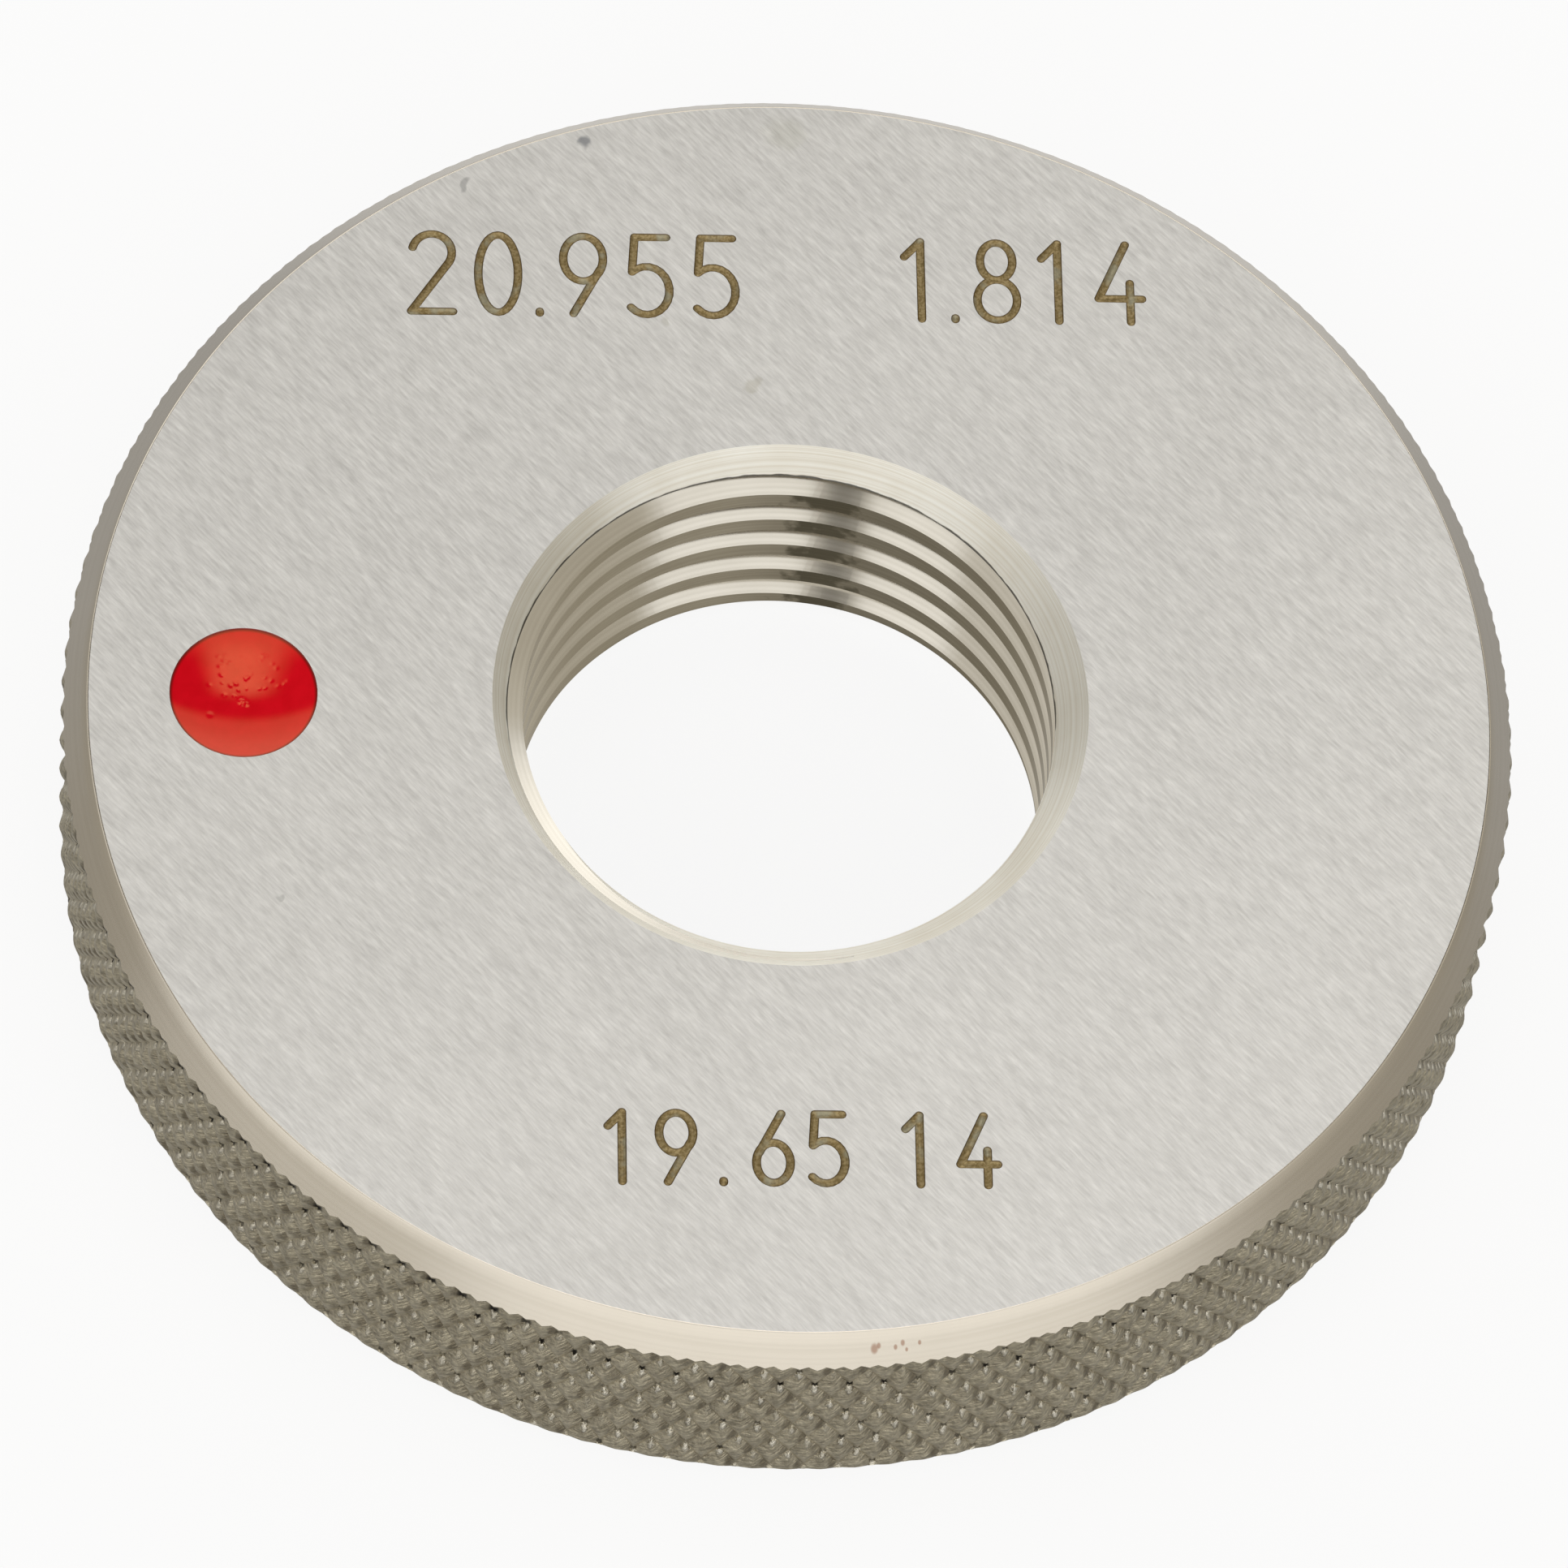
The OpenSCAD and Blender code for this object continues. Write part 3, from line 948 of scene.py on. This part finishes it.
# In the order of the slots' numbers
ring_looks = [
    ground_steel(),
    bevel_steel(),
    knurled_steel(),
    sink_steel(),
    flank_steel(),
    crest_steel(),
    engraved_steel(),
    drilled_steel(),
]
ring = bpy.data.objects.new("gauge_ring_visual", ring_mesh(ring_looks))
bpy.context.scene.collection.objects.link(ring)
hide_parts("gauge_ring")
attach(ring, "root")

mark = bpy.data.objects.new("red_mark_visual", lacquer_mesh([red_lacquer()]))
bpy.context.scene.collection.objects.link(mark)
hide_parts("red_mark")
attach(mark, "root")

# The camera's place, found from the rims of the faces and of the bore in the photograph
CAM_AZIMUTH, CAM_ELEVATION, CAM_ROLL = map(math.radians, (6.99, 60.84, 7.06))
CAM_DISTANCE, CAM_LENS, CAM_SENSOR = 0.41805, 261.47, 36.0
CAM_TARGET = Vector((0.000078, -0.00029, 0.00475))


def add_camera():
    """The camera at the photograph's viewing angle."""
    forward = Vector((
        math.sin(CAM_AZIMUTH) * math.cos(CAM_ELEVATION),
        math.cos(CAM_AZIMUTH) * math.cos(CAM_ELEVATION),
        -math.sin(CAM_ELEVATION),
    ))
    level = Vector((math.cos(CAM_AZIMUTH), -math.sin(CAM_AZIMUTH), 0.0))
    upright = level.cross(forward)
    right = level * math.cos(CAM_ROLL) + upright * math.sin(CAM_ROLL)
    up = upright * math.cos(CAM_ROLL) - level * math.sin(CAM_ROLL)
    camera = bpy.data.objects.new("camera", bpy.data.cameras.new("camera"))
    camera.data.lens, camera.data.sensor_width = CAM_LENS, CAM_SENSOR
    camera.data.clip_start, camera.data.clip_end = 0.01, 20.0
    place = Matrix.Translation(CAM_TARGET - forward * CAM_DISTANCE)
    camera.matrix_world = place @ Matrix((right, up, -forward)).transposed().to_4x4()
    bpy.context.scene.collection.objects.link(camera)
    bpy.context.scene.camera = camera


def floor_look():
    """Pale floor that takes the object's shadow and looks white to the camera; metal sees it
    brightest inside the bore, paler behind the ring than elsewhere, and grey elsewhere."""
    k = Surface("floor_white")
    path = k.node("ShaderNodeLightPath").outputs
    mirrored = k.larger(path["Is Glossy Ray"], path["Is Transmission Ray"])
    seen = k.larger(path["Is Camera Ray"], mirrored)
    behind = k.times(k.ramp(k.y, 20, 34), k.ramp(k.distance(k.x, 8.0), 38, 16))
    bright = k.larger(k.times(behind, 0.33), k.ramp(k.r, 11, 9, 0.0, 0.6))
    dimmed = k.times(mirrored, k.minus(0.64, bright))
    white = k.node("ShaderNodeEmission", {"Strength": k.minus(1.0, dimmed)})
    cloth = k.node("ShaderNodeBsdfDiffuse", {"Color": colour(0.92, 0.92, 0.92)})
    k.shade(k.node("ShaderNodeMixShader", {0: k.times(seen, 0.88), 1: cloth, 2: white}))
    return k.material


def add_floor(radius=0.075, below=0.00002, steps=180):
    """Round pale floor just under the lower face."""
    turns = [2 * math.pi * i / steps for i in range(steps)]
    me = bpy.data.meshes.new("floor")
    me.from_pydata([(radius * math.cos(a), radius * math.sin(a), 0) for a in turns], [],
                   [tuple(range(steps))])
    me.materials.append(floor_look())
    ob = bpy.data.objects.new("floor", me)
    ob.location.z = -below
    bpy.context.scene.collection.objects.link(ob)


# Direction of a dark shape near the camera, which the thread's flanks reflect, and the angles
# from that direction at which it ends and at which it is darkest
CAMERA_SHADE = (-0.09, -0.405, 0.910)
SHADE_END, SHADE_CORE = math.radians(6.5), math.radians(1.5)
# The overhead panel's middle is a little to the right, and its left half is the wider one
PANEL_X, PANEL_LEFT = 0.06, 0.72


def surroundings(k, way):
    """Brightness of what lies in a direction. arch is the angle in degrees from level in front,
    over straight up at 90, to level behind at 180."""
    x, y, z = k.node("ShaderNodeSeparateXYZ", {0: way}).outputs
    arch = k.turn(k.times(y, -1.0), z)
    side = k.math("ABSOLUTE", x)
    off = k.larger(k.minus(x, PANEL_X), k.times(k.minus(PANEL_X, x), PANEL_LEFT))

    # Grey round the sides, dimmer near the floor and brighter at the far left
    around = k.minus(k.ramp(z, 0.02, 0.14, 0.33, 0.62),
                     k.times(k.ramp(z, 0.38, 0.62), k.ramp(x, -0.6, 0.2, -0.04, 0.14)))
    around = k.add(around, k.times(k.ramp(x, -0.74, -0.86, 0.0, 0.22), k.ramp(z, 0.14, 0.26)))
    # A dark gap between the panel overhead and the one behind
    dark = k.times(k.window(arch, 92, 104, 128, 136), k.ramp(side, 0.68, 0.54))
    around = k.times(around, k.minus(1.0, k.times(dark, 0.93)))

    # A long panel overhead that widens towards the front, with a lamp in its rear part
    reach = k.add(k.ramp(arch, 116, 86, 0.28, 0.46, smooth=False), k.ramp(arch, 86, 50, 0.0, 0.45))
    panel = k.times(k.window(arch, 8, 22, 112, 122), k.ramp(off, reach, k.minus(reach, 0.22)))
    panel = k.times(panel, k.ramp(arch, 55, 38, 1.0, 1.14))
    lamp = k.times(k.window(arch, 86, 98, 112, 122), k.ramp(off, 0.27, 0.05))
    # A panel behind and a low card in front
    back = k.add(k.ramp(arch, 128, 135, 0.0, 0.85), k.ramp(arch, 135, 150, 0.0, 0.5))
    back = k.times(back, k.ramp(arch, 179, 170), k.ramp(side, 0.9, 0.55))
    card = k.times(k.window(arch, 0, 9, 18, 26), k.ramp(k.distance(x, 0.08), 1.05, 0.5))

    level = k.larger(k.larger(around, panel), k.larger(k.times(card, 1.18), back))
    level = k.add(level, k.times(lamp, 0.85))
    toward = k.node("ShaderNodeVectorMath", {0: way, 1: CAMERA_SHADE}, operation="DOT_PRODUCT")
    shade = k.ramp(toward.outputs["Value"], math.cos(SHADE_END), math.cos(SHADE_CORE), 1.0, 0.1)
    return k.times(level, shade)


def studio():
    """Soft light from all round; the camera itself sees plain white in its place."""
    world = bpy.data.worlds.new("studio")
    bpy.context.scene.world = world
    k = Look(world)
    level = surroundings(k, k.node("ShaderNodeTexCoord").outputs["Generated"])
    tint = k.mix(k.ramp(level, 0.45, 0.85), colour(1.0, 0.93, 0.79), colour(1.0, 0.985, 0.955))
    lit = k.node("ShaderNodeBackground", {"Color": tint, "Strength": level})
    plain = k.node("ShaderNodeBackground", {"Color": colour(1, 1, 1), "Strength": 1.0})
    seen = k.node("ShaderNodeLightPath").outputs["Is Camera Ray"]
    both = k.node("ShaderNodeMixShader", {0: seen, 1: lit, 2: plain})
    k.node("ShaderNodeOutputWorld", {"Surface": both})


add_camera()
add_floor()
studio()
bpy.context.scene.view_settings.view_transform = "Standard"
